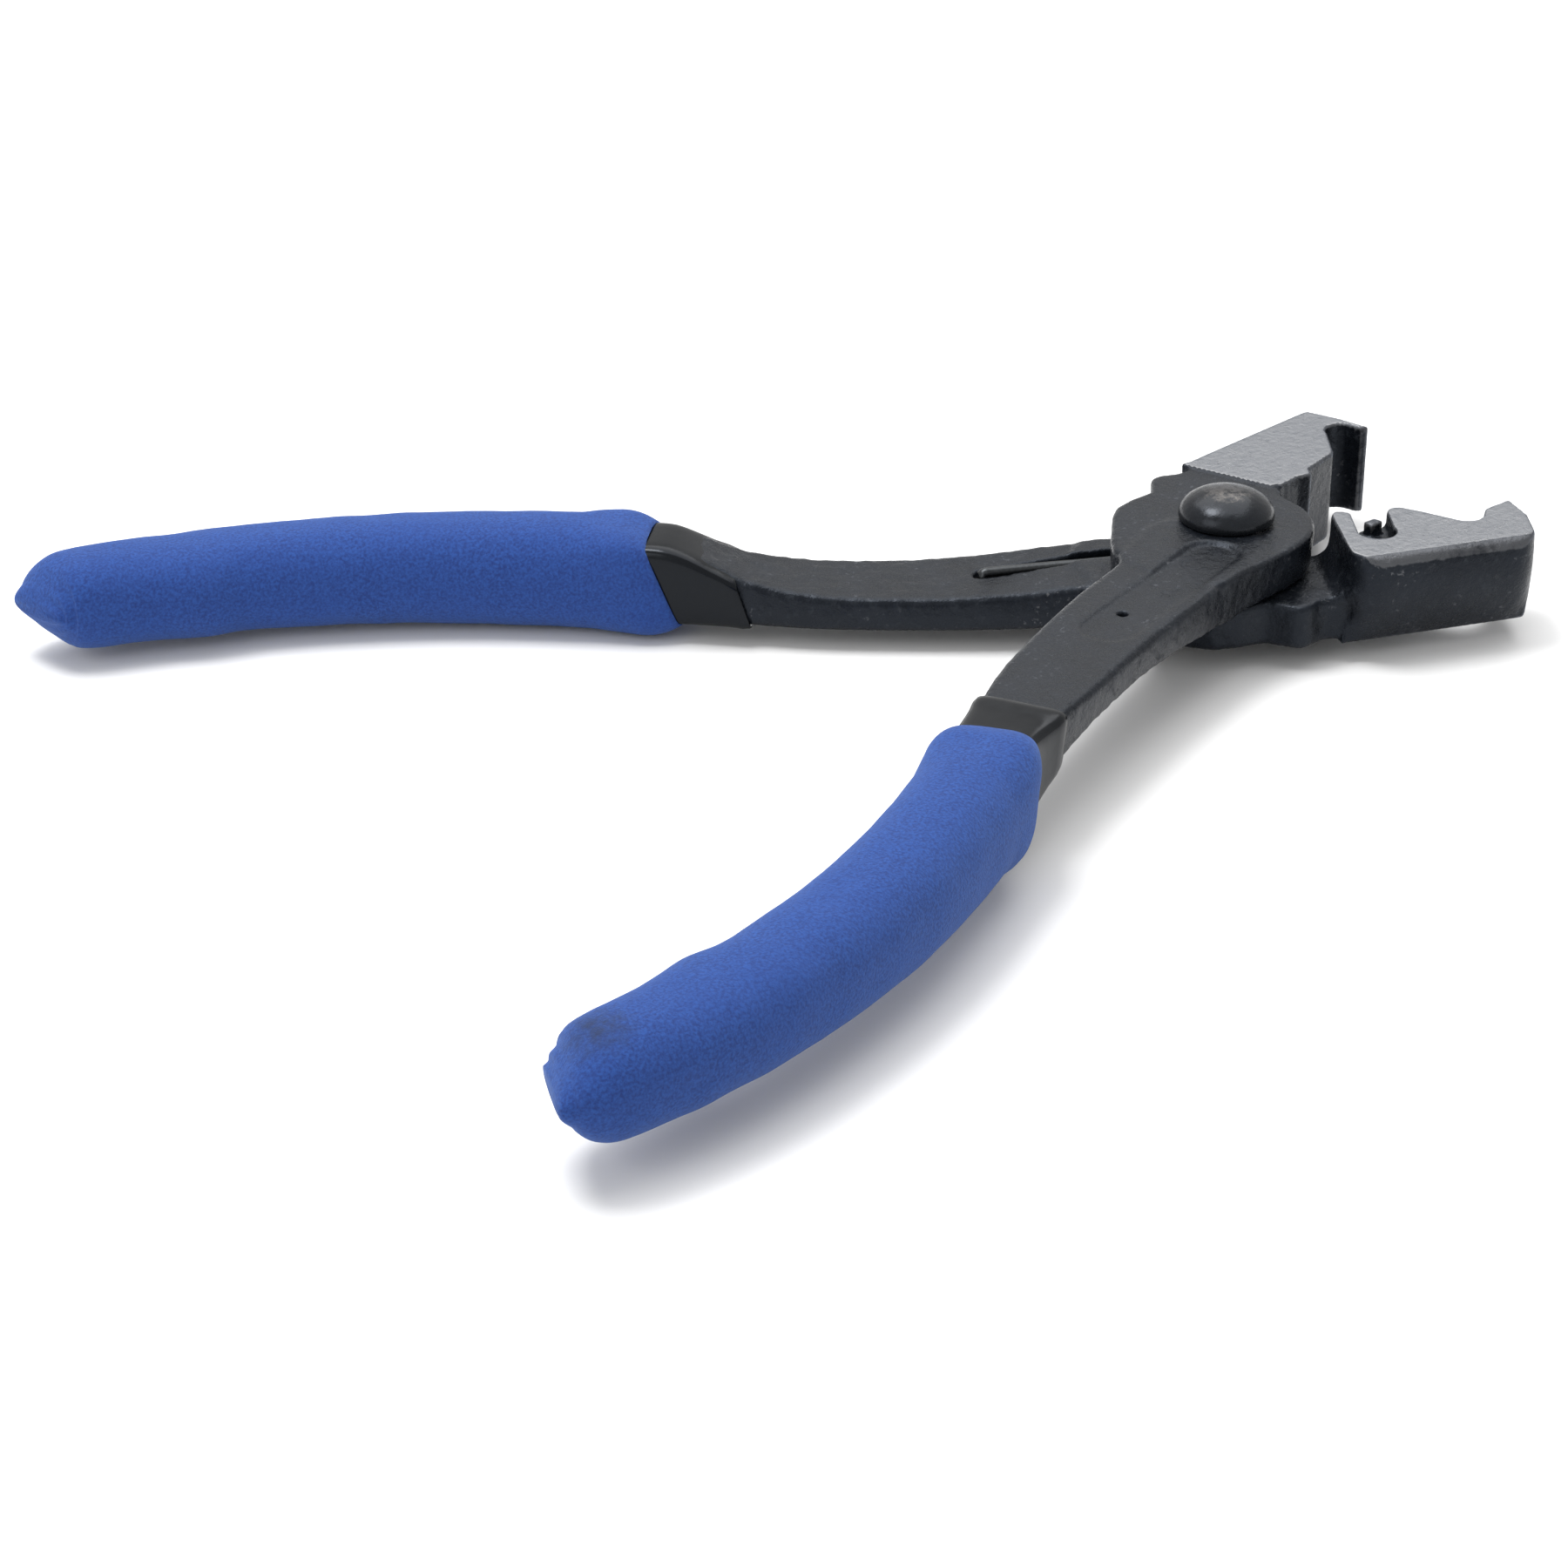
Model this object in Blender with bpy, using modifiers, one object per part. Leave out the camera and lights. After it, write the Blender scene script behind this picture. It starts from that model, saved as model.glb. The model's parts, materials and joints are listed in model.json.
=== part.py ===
"""Hose-clip pliers: two lap-jointed forged halves on a dome-head rivet, with a return spring
between the plates, vinyl under-sleeves and foam grips.

The upper half carries the +Y jaw and the -Y handle.  The lower half is the same forging turned
half a turn about X, with its own jaw profile.  The halves are drawn round the pivot in
millimetres and placed in metres, pivot axis along Z, jaws towards +X.
"""
import math

import bmesh
import bpy
from mathutils import Vector

MM = 0.001

# Pivot and lap joint
HALF_THICKNESS = 7.0        # the jaws are twice this thick
FACE_GAP = 0.3              # between the two mating faces, and between other touching pieces
PLATE_TOP = HALF_THICKNESS - 0.3    # outer face of a joint plate above the mating plane
TABLE_THICKNESS = 7.0       # half thickness that the station tables are drawn for
BOSS_RADIUS = 12.8          # round end of a joint plate
BORE_CLEARANCE = 0.08       # radial, rivet in bore

# Rivet
RIVET_RADIUS = 4.0
HEAD_RADIUS = RIVET_RADIUS + 2.95
HEAD_HEIGHT = 4.6
HEAD_RIM = 0.5
TAIL_RADIUS = RIVET_RADIUS + 2.0
TAIL_HEIGHT = 1.8

# Return spring and the hollow it lies in
WIRE_RADIUS = 0.8
COIL_RADIUS = RIVET_RADIUS + WIRE_RADIUS + 1.5
COIL_RISE = WIRE_RADIUS + 0.45  # legs lie this far above and below the mating plane
COIL_WALL = 0.4             # room round the coil
SLOT_WIDTH = 2 * WIRE_RADIUS + 1.8
LEG_END = (-30.9, -17.5)    # where the leg hooks into the arm, upper half
HOOK_LENGTH = 3.2
HOOK_HOLE_RADIUS = WIRE_RADIUS + FACE_GAP

# Jaws, upper half convention: +Y is outwards
JAW_OUTER_START = (7.6, 19.5)
JAW_OUTER_END = (35.0, 26.1)
JAW_END_MIDDLE = (37.4, 21.4)
JAW_TIP = (39.3, 16.0)
JAW_CHAMFER = 0.4
# Height as a share of the half thickness, and how far the outer side swells there
JAW_DRAFT = ((-1.0, 2.5), (-0.5, 3.2), (0.0, 3.1), (0.5, 1.9), (1.0, 0.0))
NOTCH_WEB_TOP = 2.5         # the lower jaw's rear notch is this deep from its top face

HANDLE_REACH = 151.6        # pivot to the end of a grip, along X
TABLE_REACH = 151.6         # reach that the station tables are drawn for

# Arm centre line from the joint outwards: x, y, width, underside, top
ARM_STATIONS = (
    (-8.0, -4.6, 17.0, 0.15, 6.7),
    (-18.5, -11.0, 16.6, 0.3, 6.8),
    (-28.2, -15.8, 16.2, 1.2, 6.9),
    (-38.3, -21.3, 15.4, 1.8, 7.0),
    (-50.5, -28.6, 14.3, 1.6, 7.0),
    (-59.3, -34.4, 12.2, 0.0, 6.9),
    (-67.0, -39.6, 9.4, -3.4, 6.4),
    (-75.0, -46.2, 9.0, -3.3, 6.3),
    (-85.0, -53.6, 8.8, -3.1, 6.1),
    (-95.0, -60.1, 8.8, -3.0, 6.0),
    (-105.0, -65.4, 8.8, -3.0, 6.0),
    (-115.0, -69.8, 8.8, -2.9, 5.9),
    (-125.0, -73.3, 8.8, -2.8, 5.8),
    (-138.0, -76.4, 8.0, -2.3, 5.3),
)
SLEEVE_START = 5            # station where the vinyl sleeve begins
SLEEVE_WALL = 0.5
SLEEVE_END_CAP = 1.5

# Foam grip: x, y, half width, half height, middle height
GRIP_STATIONS = (
    (-68.8, -41.1, 7.8, 8.2, 1.7),
    (-75.0, -46.4, 7.8, 8.2, 1.7),
    (-85.0, -53.7, 7.7, 8.1, 1.7),
    (-95.0, -60.2, 7.7, 7.8, 1.7),
    (-105.0, -65.5, 7.7, 7.6, 1.7),
    (-115.0, -69.9, 7.7, 7.4, 1.7),
    (-123.0, -72.8, 7.8, 7.2, 1.7),
    (-129.0, -74.1, 8.3, 7.1, 1.7),
    (-136.0, -76.1, 7.8, 7.0, 1.6),
    (-145.0, -77.6, 7.3, 6.7, 1.5),
    (-148.0, -78.1, 6.9, 4.9, 1.5),
    (-151.6, -78.7, 5.8, 1.0, 1.5),
)
GRIP_SQUARENESS = 2.4       # superellipse power, 2 is a plain ellipse

STEEL_BLACK = ("forged_steel", (0.075, 0.083, 0.092, 1.0), 0.45, 0.9)
STEEL_RIVET = ("rivet_steel", (0.13, 0.13, 0.14, 1.0), 0.38, 0.95)
STEEL_WIRE = ("spring_wire", (0.16, 0.16, 0.17, 1.0), 0.35, 0.95)
VINYL_BLACK = ("sleeve_vinyl", (0.03, 0.032, 0.036, 1.0), 0.3, 0.0)
FOAM_BLUE = ("grip_foam", (0.035, 0.105, 0.35, 1.0), 0.85, 0.0)


def clear_scene():
    """Start from an empty scene."""
    for old in list(bpy.data.objects):
        bpy.data.objects.remove(old, do_unlink=True)


def make_collection(name):
    """A collection linked to the scene."""
    found = bpy.data.collections.new(name)
    bpy.context.scene.collection.children.link(found)
    return found


def make_material(name, colour, roughness, metallic):
    """A Principled material."""
    material = bpy.data.materials.new(name)
    material.use_nodes = True
    shader = material.node_tree.nodes["Principled BSDF"]
    shader.inputs["Base Color"].default_value = colour
    shader.inputs["Roughness"].default_value = roughness
    shader.inputs["Metallic"].default_value = metallic
    return material


def mesh_object(name, rings, closed_ends=True):
    """Loft rings of equal point count into one closed body, capped at both ends."""
    bm = bmesh.new()
    rows = [[bm.verts.new(Vector(point) * MM) for point in ring] for ring in rings]
    count = len(rows[0])
    pairs = list(zip(rows, rows[1:]))
    if not closed_ends:
        pairs.append((rows[-1], rows[0]))
    for low, high in pairs:
        for i in range(count):
            j = (i + 1) % count
            bm.faces.new((low[i], low[j], high[j], high[i]))
    if closed_ends:
        bm.faces.new(rows[0][::-1])
        bm.faces.new(rows[-1])
    bmesh.ops.recalc_face_normals(bm, faces=bm.faces)
    mesh = bpy.data.meshes.new(name)
    bm.to_mesh(mesh)
    bm.free()
    made = bpy.data.objects.new(name, mesh)
    return made


def arc(centre, radius, start, end, steps):
    """Points on an arc, angles in degrees."""
    points = []
    for i in range(steps + 1):
        angle = math.radians(start + (end - start) * i / steps)
        points.append((centre[0] + radius * math.cos(angle), centre[1] + radius * math.sin(angle)))
    return points


def inset(points, distance):
    """Move each point of a counter-clockwise outline inwards along its mitre."""
    moved = []
    count = len(points)
    for i in range(count):
        before = Vector(points[i]) - Vector(points[i - 1])
        after = Vector(points[(i + 1) % count]) - Vector(points[i])
        before.normalize()
        after.normalize()
        normal = Vector((-before.y - after.y, before.x + after.x))
        normal.normalize()
        cosine = max(0.5, normal.dot(Vector((-before.y, before.x))))
        moved.append(tuple(Vector(points[i]) + normal * distance / cosine))
    return moved


def prism_rings(outline_at, levels, chamfer):
    """Rings of a prism whose outline may change with height, with chamfered top and bottom."""
    low, high = levels[0], levels[-1]
    heights = [low + chamfer] + list(levels[1:-1]) + [high - chamfer]
    rings = [[(x, y, low) for x, y in inset(outline_at(low), chamfer)]]
    for z in heights:
        rings.append([(x, y, z) for x, y in outline_at(z)])
    rings.append([(x, y, high) for x, y in inset(outline_at(high), chamfer)])
    return rings


def interpolate(table, value):
    """Straight-line reading of a table of (position, amount)."""
    for (a, low), (b, high) in zip(table, table[1:]):
        if value <= b:
            return low + (high - low) * max(0.0, value - a) / (b - a)
    return table[-1][1]


def plate_outline():
    """Joint plate seen from above: boss, two rounded lugs and the start of the arm."""
    boss = arc((0, 0), BOSS_RADIUS, -65, 12, 10)
    jaw_side = [(14.2, 5.6), (17.0, 10.0), (12.0, 19.4), (7.6, 18.8), (4.9, 17.7)]
    front_lug = arc((1.4, 15.8), 2.8, 50, 165, 6)
    back_lug = [(-3.2, 14.2), (-7.4, 13.6), (-10.8, 12.3), (-13.4, 9.6), (-15.6, 6.6), (-18.2, 3.2)]
    heel = [(-20.0, 0.2), (-20.2, -4.0), (-18.0, -14.0), (-13.0, -17.0), (-4.0, -14.7), (1.3, -13.2)]
    return boss + jaw_side + front_lug + back_lug + heel


def upper_profile():
    """Working edge of the upper jaw from the tip back to the plate."""
    tooth = [JAW_TIP, (38.0, 16.3)]
    tip_notch = arc((34.9, 17.0), 2.6, 22, 168, 7)
    ridge = [(30.6, 14.6), (28.8, 11.6), (28.0, 10.8), (21.5, 8.1), (20.6, 6.3)]
    recess = [(18.4, 6.6), (16.2, 5.9), (14.2, 5.4)]
    return tooth + tip_notch + ridge + recess


def lower_profile():
    """Working edge of the lower jaw from the tip back to the plate, in the same convention."""
    tooth = [JAW_TIP, (34.3, 16.7)]
    tip_notch = arc((30.7, 16.4), 2.7, 40, 160, 6)
    hump = [(26.0, 13.0)] + arc((22.8, 11.2), 1.8, -20, -145, 5)
    notch = arc((15.9, 14.6), 2.8, 8, 190, 8)
    ridge = [(16.6, 7.8), (15.8, 6.6), (14.8, 6.2), (13.8, 6.8)]
    return tooth + tip_notch + hump + notch + ridge


def jaw_outline(profile, z):
    """Whole jaw outline at one height; the outer side swells by the forging draft."""
    swell = interpolate(JAW_DRAFT, z / HALF_THICKNESS)
    start = (JAW_OUTER_START[0] - 0.35 * swell, JAW_OUTER_START[1] + 0.85 * swell)
    end = (JAW_OUTER_END[0] - 0.3 * swell, JAW_OUTER_END[1] + 0.85 * swell)
    middle = ((start[0] + end[0]) / 2, (start[1] + end[1]) / 2)
    rear = (JAW_OUTER_START[0] - 1.2, JAW_OUTER_START[1] + 0.3)
    nose = (JAW_END_MIDDLE[0] + 0.25 * swell, JAW_END_MIDDLE[1] + 0.1 * swell)
    return [rear] + profile[::-1] + [nose, end, middle, start]


def superellipse(half_width, half_height, power, count):
    """Section points: a rounded box for a high power, an ellipse for 2."""
    points = []
    for i in range(count):
        angle = 2 * math.pi * (i + 0.5) / count
        c, s = math.cos(angle), math.sin(angle)
        points.append((half_width * math.copysign(abs(c) ** (2 / power), c),
                       half_height * math.copysign(abs(s) ** (2 / power), s)))
    return points


def path_normals(points):
    """Unit sideways direction at each point of a plan path."""
    normals = []
    for i in range(len(points)):
        before = Vector(points[max(0, i - 1)])
        after = Vector(points[min(len(points) - 1, i + 1)])
        along = (after - before).normalized()
        normals.append(Vector((-along.y, along.x)))
    return normals


def section_rings(stations, grow, power, count):
    """Rings along stations of (x, y, half width, low z, high z), grown all round."""
    normals = path_normals([(s[0], s[1]) for s in stations])
    rings = []
    for (x, y, half, low, high), side in zip(stations, normals):
        middle, tall = (low + high) / 2, (high - low) / 2
        section = superellipse(half + grow, tall + grow, power, count)
        rings.append([(x + side.x * a, y + side.y * a, middle + b) for a, b in section])
    return rings


def table_scales():
    """How much longer and thicker the handles are than their tables."""
    return HANDLE_REACH / TABLE_REACH, HALF_THICKNESS / TABLE_THICKNESS


def arm_stations():
    """Arm stations as half widths, at this size; the underside stays clear of the mating plane."""
    long, thick = table_scales()
    low_limit = FACE_GAP / 2
    rows = []
    for x, y, width, low, high in ARM_STATIONS:
        low = max(low * thick, low_limit) if low >= 0 else low * thick
        rows.append((x * long, y * long, width / 2, low, high * thick))
    return rows


def grip_stations():
    """Grip stations at this size."""
    long, thick = table_scales()
    return [(x * long, y * long, w, h * thick, middle * thick) for x, y, w, h, middle in GRIP_STATIONS]


def leg_end():
    """Where the upper spring leg hooks into its arm."""
    long, _ = table_scales()
    return LEG_END[0] * long, LEG_END[1] * long


def end_cap_ring(ring):
    """A ring shrunk on its own middle, to close a toe."""
    middle = sum((Vector(p) for p in ring), Vector()) / len(ring)
    return [tuple(middle + (Vector(p) - middle) * 0.02) for p in ring]


def extend(stations, length):
    """Add one station beyond the last, along the same direction."""
    x0, y0 = stations[-2][:2]
    x1, y1 = stations[-1][:2]
    run = math.hypot(x1 - x0, y1 - y0)
    x2 = x1 + (x1 - x0) / run * length
    y2 = y1 + (y1 - y0) / run * length
    return stations + [(x2, y2) + tuple(stations[-1][2:])]


def cylinder(name, radius, low, high, at=(0.0, 0.0), sides=48):
    """Upright cylinder between two heights."""
    ring = arc(at, radius, 0, 360 - 360 / sides, sides - 1)
    return mesh_object(name, [[(x, y, z) for x, y in ring] for z in (low, high)])


def leg_direction():
    """Tangent point on the coil and unit direction of the upper spring leg."""
    end = leg_end()
    distance = math.hypot(*end)
    bearing = math.atan2(-end[1], -end[0])
    turn = math.asin(COIL_RADIUS / distance)
    angle = bearing - turn
    along = Vector((-math.cos(angle), -math.sin(angle)))
    tangent = Vector((math.sin(angle), -math.cos(angle))) * COIL_RADIUS
    return tangent, along


def slot_cutter(name):
    """Straight slot for a spring leg, from the coil hollow to the hook hole."""
    tangent, along = leg_direction()
    side = Vector((-along.y, along.x)) * SLOT_WIDTH / 2
    end = Vector(leg_end())
    corners = [tangent - side, tangent + side, end + side, end + along * 1.2 + side * 0.5,
               end + along * 1.2 - side * 0.5, end - side]
    depth = COIL_RISE + WIRE_RADIUS + COIL_WALL
    return mesh_object(name, [[(p.x, p.y, z) for p in corners] for z in (-1.0, depth)])


def boolean(target, cutter, operation, cutters):
    """Join or cut with another solid, kept in the cutters' collection."""
    cutters.objects.link(cutter)
    cutter.hide_render = True
    cutter.display_type = "WIRE"
    change = target.modifiers.new(cutter.name, "BOOLEAN")
    change.operation = operation
    change.object = cutter
    change.solver = "EXACT"


def coil_hollow():
    """Reach and depth of the round hollow that holds half of the coil."""
    return COIL_RADIUS + WIRE_RADIUS + COIL_WALL, COIL_RISE + WIRE_RADIUS + COIL_WALL


def build_half(name, profile, parts, cutters, web=None):
    """One forged half in the upper half's convention."""
    low = FACE_GAP / 2
    levels = [share * HALF_THICKNESS for share, _ in JAW_DRAFT]
    jaw = mesh_object(name, prism_rings(lambda z: jaw_outline(profile, z), levels, JAW_CHAMFER))
    parts.objects.link(jaw)
    plate = mesh_object(name + "_plate", prism_rings(lambda z: plate_outline(), (low, PLATE_TOP), 0.3))
    arm = mesh_object(name + "_arm", section_rings(arm_stations(), 0.0, 9, 20))
    reach, depth = coil_hollow()
    boolean(jaw, plate, "UNION", cutters)
    boolean(jaw, arm, "UNION", cutters)
    if web:
        boolean(jaw, web, "UNION", cutters)
    bore = cylinder(name + "_bore", RIVET_RADIUS + BORE_CLEARANCE, -1, 2 * HALF_THICKNESS)
    boolean(jaw, bore, "DIFFERENCE", cutters)
    boolean(jaw, cylinder(name + "_hollow", reach, -1, depth), "DIFFERENCE", cutters)
    boolean(jaw, slot_cutter(name + "_slot"), "DIFFERENCE", cutters)
    hole = cylinder(name + "_hook_hole", HOOK_HOLE_RADIUS, 0, 2 * HALF_THICKNESS, leg_end(), 16)
    boolean(jaw, hole, "DIFFERENCE", cutters)
    return jaw


def notch_web(name):
    """Floor of the lower jaw's rear notch."""
    outline = [(12.2, 16.6), (14.2, 10.6), (16.4, 9.6), (17.6, 9.0), (19.8, 9.2), (22.4, 10.4), (20.9, 12.6),
               (18.6, 16.8), (15.2, 18.4)]
    low = -HALF_THICKNESS + NOTCH_WEB_TOP
    return mesh_object(name, [[(x, y, z) for x, y in outline] for z in (low, HALF_THICKNESS - 0.8)])


def build_sleeve(name, parts):
    """Vinyl under-sleeve: a thin sock over the arm from its start station to its end."""
    stations = arm_stations()[SLEEVE_START:]
    outer = section_rings(extend(stations, FACE_GAP + SLEEVE_END_CAP), FACE_GAP + SLEEVE_WALL, 7, 28)
    inner = section_rings(extend(stations, FACE_GAP), FACE_GAP, 9, 28)
    rings = outer + [end_cap_ring(outer[-1]), end_cap_ring(inner[-1])] + inner[::-1]
    sleeve = mesh_object(name, rings, closed_ends=False)
    parts.objects.link(sleeve)
    return sleeve


def grip_outer_rings():
    """Rings of a grip's outer skin from the mouth to the toe."""
    tall = [(x, y, w, middle - h, middle + h) for x, y, w, h, middle in grip_stations()]
    return section_rings(tall, 0.0, GRIP_SQUARENESS, 28)


def grip_bore_stations():
    """Arm stations from the grip's mouth to the arm's end."""
    arm = arm_stations()
    mouth = grip_stations()[0][0]
    for i in range(1, len(arm)):
        if arm[i][0] <= mouth:
            break
    share = (mouth - arm[i - 1][0]) / (arm[i][0] - arm[i - 1][0])
    first = tuple(a + (b - a) * share for a, b in zip(arm[i - 1], arm[i]))
    return [first] + arm[i:]


def build_grip(name, parts):
    """Foam grip: a closed-end tube over the sleeve."""
    outer = grip_outer_rings()
    bore = extend(grip_bore_stations(), 2 * FACE_GAP + SLEEVE_END_CAP)
    inner = section_rings(bore, 2 * FACE_GAP + SLEEVE_WALL, 7, 28)
    rings = outer + [end_cap_ring(outer[-1]), end_cap_ring(inner[-1])] + inner[::-1]
    grip = mesh_object(name, rings, closed_ends=False)
    parts.objects.link(grip)
    return grip


def build_rivet(parts):
    """Dome-head rivet, turned: profile from the top of the dome down to the tail."""
    dome_base = PLATE_TOP + FACE_GAP
    profile = [(0.0, dome_base + HEAD_HEIGHT)]
    steps = 10
    for i in range(1, steps + 1):
        angle = math.pi / 2 * (1 - i / steps)
        profile.append((HEAD_RADIUS * math.cos(angle),
                        dome_base + HEAD_RIM + (HEAD_HEIGHT - HEAD_RIM) * math.sin(angle)))
    profile += [(HEAD_RADIUS - 0.2, dome_base), (RIVET_RADIUS, dome_base)]
    tail = -dome_base
    profile += [(RIVET_RADIUS, tail), (TAIL_RADIUS, tail), (TAIL_RADIUS, tail - 0.6),
                (TAIL_RADIUS * 0.7, tail - TAIL_HEIGHT * 0.85), (0.0, tail - TAIL_HEIGHT)]
    mesh = bpy.data.meshes.new("pivot_rivet")
    points = [(r * MM, 0.0, z * MM) for r, z in profile]
    mesh.from_pydata(points, [(i, i + 1) for i in range(len(points) - 1)], [])
    rivet = bpy.data.objects.new("pivot_rivet", mesh)
    parts.objects.link(rivet)
    turn = rivet.modifiers.new("turn", "SCREW")
    turn.angle = 2 * math.pi
    turn.steps = 48
    turn.render_steps = 48
    turn.use_merge_vertices = True
    turn.merge_threshold = 0.00001
    return rivet


def spring_path():
    """Wire centre line: lower hook, lower leg, coil, upper leg, upper hook."""
    tangent, along = leg_direction()
    start = math.degrees(math.atan2(-tangent.y, tangent.x))
    end = -start - 360
    steps = 40
    coil = []
    for i in range(steps + 1):
        angle = math.radians(start + (end - start) * i / steps)
        z = -COIL_RISE + 2 * COIL_RISE * i / steps
        coil.append(Vector((COIL_RADIUS * math.cos(angle), COIL_RADIUS * math.sin(angle), z)))
    foot = Vector((*leg_end(), COIL_RISE))
    bend = 1.2
    back = Vector((-along.x, -along.y, 0.0))
    upper = [foot + back * bend, foot + back * bend * 0.3 + Vector((0, 0, bend * 0.3)),
             foot + Vector((0, 0, bend)), foot + Vector((0, 0, HOOK_LENGTH))]
    lower = [Vector((p.x, -p.y, -p.z)) for p in upper[::-1]]
    return lower + coil + upper


def build_spring(parts):
    """Torsion spring: one wire wound round the rivet, each leg lying in one half's slot."""
    points = spring_path()
    curve = bpy.data.curves.new("return_spring", "CURVE")
    curve.dimensions = "3D"
    curve.bevel_depth = WIRE_RADIUS * MM
    curve.bevel_resolution = 2
    curve.use_fill_caps = True
    line = curve.splines.new("POLY")
    line.points.add(len(points) - 1)
    for point, target in zip(line.points, points):
        point.co = (target.x * MM, target.y * MM, target.z * MM, 1.0)
    spring = bpy.data.objects.new("return_spring", curve)
    parts.objects.link(spring)
    return spring


def pivot_position():
    """Where the pivot axis crosses the mating plane, so the whole box stands on its bottom centre."""
    outer = grip_outer_rings()
    rear = min(point[0] for ring in outer for point in ring)
    reach = max(point[2] for ring in outer for point in ring)
    return Vector((-(rear + JAW_TIP[0]) / 2, 0.0, reach)) * MM


def main():
    clear_scene()
    parts = make_collection("hose_clip_pliers")
    cutters = make_collection("cutters")
    pivot = bpy.data.objects.new("pivot_axis", None)
    parts.objects.link(pivot)

    forged = make_material(*STEEL_BLACK)
    vinyl = make_material(*VINYL_BLACK)
    foam = make_material(*FOAM_BLUE)
    for side, profile in (("upper", upper_profile()), ("lower", lower_profile())):
        web = notch_web("lower_web") if side == "lower" else None
        half = build_half(side + "_half", profile, parts, cutters, web)
        sleeve = build_sleeve(side + "_sleeve", parts)
        grip = build_grip(side + "_grip", parts)
        for piece, material in ((half, forged), (sleeve, vinyl), (grip, foam)):
            piece.data.materials.append(material)
        if side == "lower":
            turn = bpy.data.objects.new("lower_turn", None)
            parts.objects.link(turn)
            turn.parent = pivot
            turn.rotation_euler = (math.pi, 0.0, 0.0)
            for piece in (half, sleeve, grip):
                piece.parent = turn
            for cutter in cutters.objects:
                if cutter.name.startswith("lower"):
                    cutter.parent = turn
        else:
            for piece in (half, sleeve, grip):
                piece.parent = pivot
            for cutter in cutters.objects:
                cutter.parent = pivot

    rivet = build_rivet(parts)
    rivet.data.materials.append(make_material(*STEEL_RIVET))
    spring = build_spring(parts)
    spring.data.materials.append(make_material(*STEEL_WIRE))
    for piece in (rivet, spring):
        piece.parent = pivot

    pivot.location = pivot_position()
    bpy.context.view_layer.update()
    print("pivot at", [round(v, 6) for v in pivot.location])


main()
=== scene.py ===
import math

import bpy
import numpy as np
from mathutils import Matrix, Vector
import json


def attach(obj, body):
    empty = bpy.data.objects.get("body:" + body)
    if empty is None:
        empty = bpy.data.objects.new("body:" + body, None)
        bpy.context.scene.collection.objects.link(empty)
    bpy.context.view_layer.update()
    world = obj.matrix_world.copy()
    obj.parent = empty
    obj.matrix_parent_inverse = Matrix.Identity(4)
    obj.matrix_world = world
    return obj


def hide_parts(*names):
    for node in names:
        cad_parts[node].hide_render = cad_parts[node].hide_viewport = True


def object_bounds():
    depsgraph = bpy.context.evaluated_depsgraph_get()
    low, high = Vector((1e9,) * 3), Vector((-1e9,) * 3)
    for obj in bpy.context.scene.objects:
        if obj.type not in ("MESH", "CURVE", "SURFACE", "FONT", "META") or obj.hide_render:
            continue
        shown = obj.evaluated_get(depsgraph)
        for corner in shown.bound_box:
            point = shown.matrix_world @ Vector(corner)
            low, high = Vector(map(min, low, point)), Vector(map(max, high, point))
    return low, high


# Hose-clip pliers: two forged halves on a dome-head rivet, a return spring between their plates,
# vinyl under-sleeves and foam grips.  Shapes are worked out in millimetres round the pivot, in the
# upper half's convention (+Y jaw, -Y handle); the lower half is the same, turned half a turn about X.
# A forging is a field: at each point of a grid it holds the distance to the nearest skin, negative
# inside the steel, and `skin` lays a sheet of four-cornered faces where the field passes zero.

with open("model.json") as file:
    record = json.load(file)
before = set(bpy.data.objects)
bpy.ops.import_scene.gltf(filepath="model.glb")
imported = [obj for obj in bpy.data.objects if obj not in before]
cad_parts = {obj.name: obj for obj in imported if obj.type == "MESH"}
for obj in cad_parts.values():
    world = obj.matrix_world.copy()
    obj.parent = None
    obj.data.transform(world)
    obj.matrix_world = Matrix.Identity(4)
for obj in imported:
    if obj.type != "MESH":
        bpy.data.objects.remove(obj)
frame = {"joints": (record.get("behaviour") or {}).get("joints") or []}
cad_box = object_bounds()
MM = 0.001
PIVOT = np.array(frame["joints"][0]["pos_m"])
HALF = 7.0                  # half the thickness of a jaw
GAP = 0.3                   # between touching pieces
PLATE_TOP = HALF - GAP      # outer face of a joint plate
PLATE_DRAFT = 0.05          # a plate's sides lean in by this share of the height
STEP = 0.35                 # spacing of a forging's grid
ROUNDING = 6                # passes of averaging that round a plate's corners

RIVET_RADIUS = 4.0
BORE_CLEARANCE = 0.08
HEAD_RADIUS = RIVET_RADIUS + 2.95
HEAD_HEIGHT = 4.6
HEAD_RIM = 0.75             # upright rim under the dome
TAIL_RADIUS = RIVET_RADIUS + 2.0
TAIL_HEIGHT = 1.8
TAIL_RIM = 0.35

WIRE_RADIUS = 0.8
COIL_RADIUS = RIVET_RADIUS + WIRE_RADIUS + 1.5
COIL_RISE = WIRE_RADIUS + 0.45      # the legs lie this far above and below the mating plane
COIL_ROOM = 0.4             # clear space round the coil in its hollow
HOLLOW_TOP = COIL_RISE + WIRE_RADIUS + COIL_ROOM
COIL_STEPS = 120
COIL_SPLIT = 96             # the lower half's piece of wire ends at this step of the coil
LEG_END = (-30.9, -17.5)    # where the leg bends down into the arm
GROOVE_RADIUS = WIRE_RADIUS + 0.45
HOLE_RADIUS = 0.72

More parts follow.
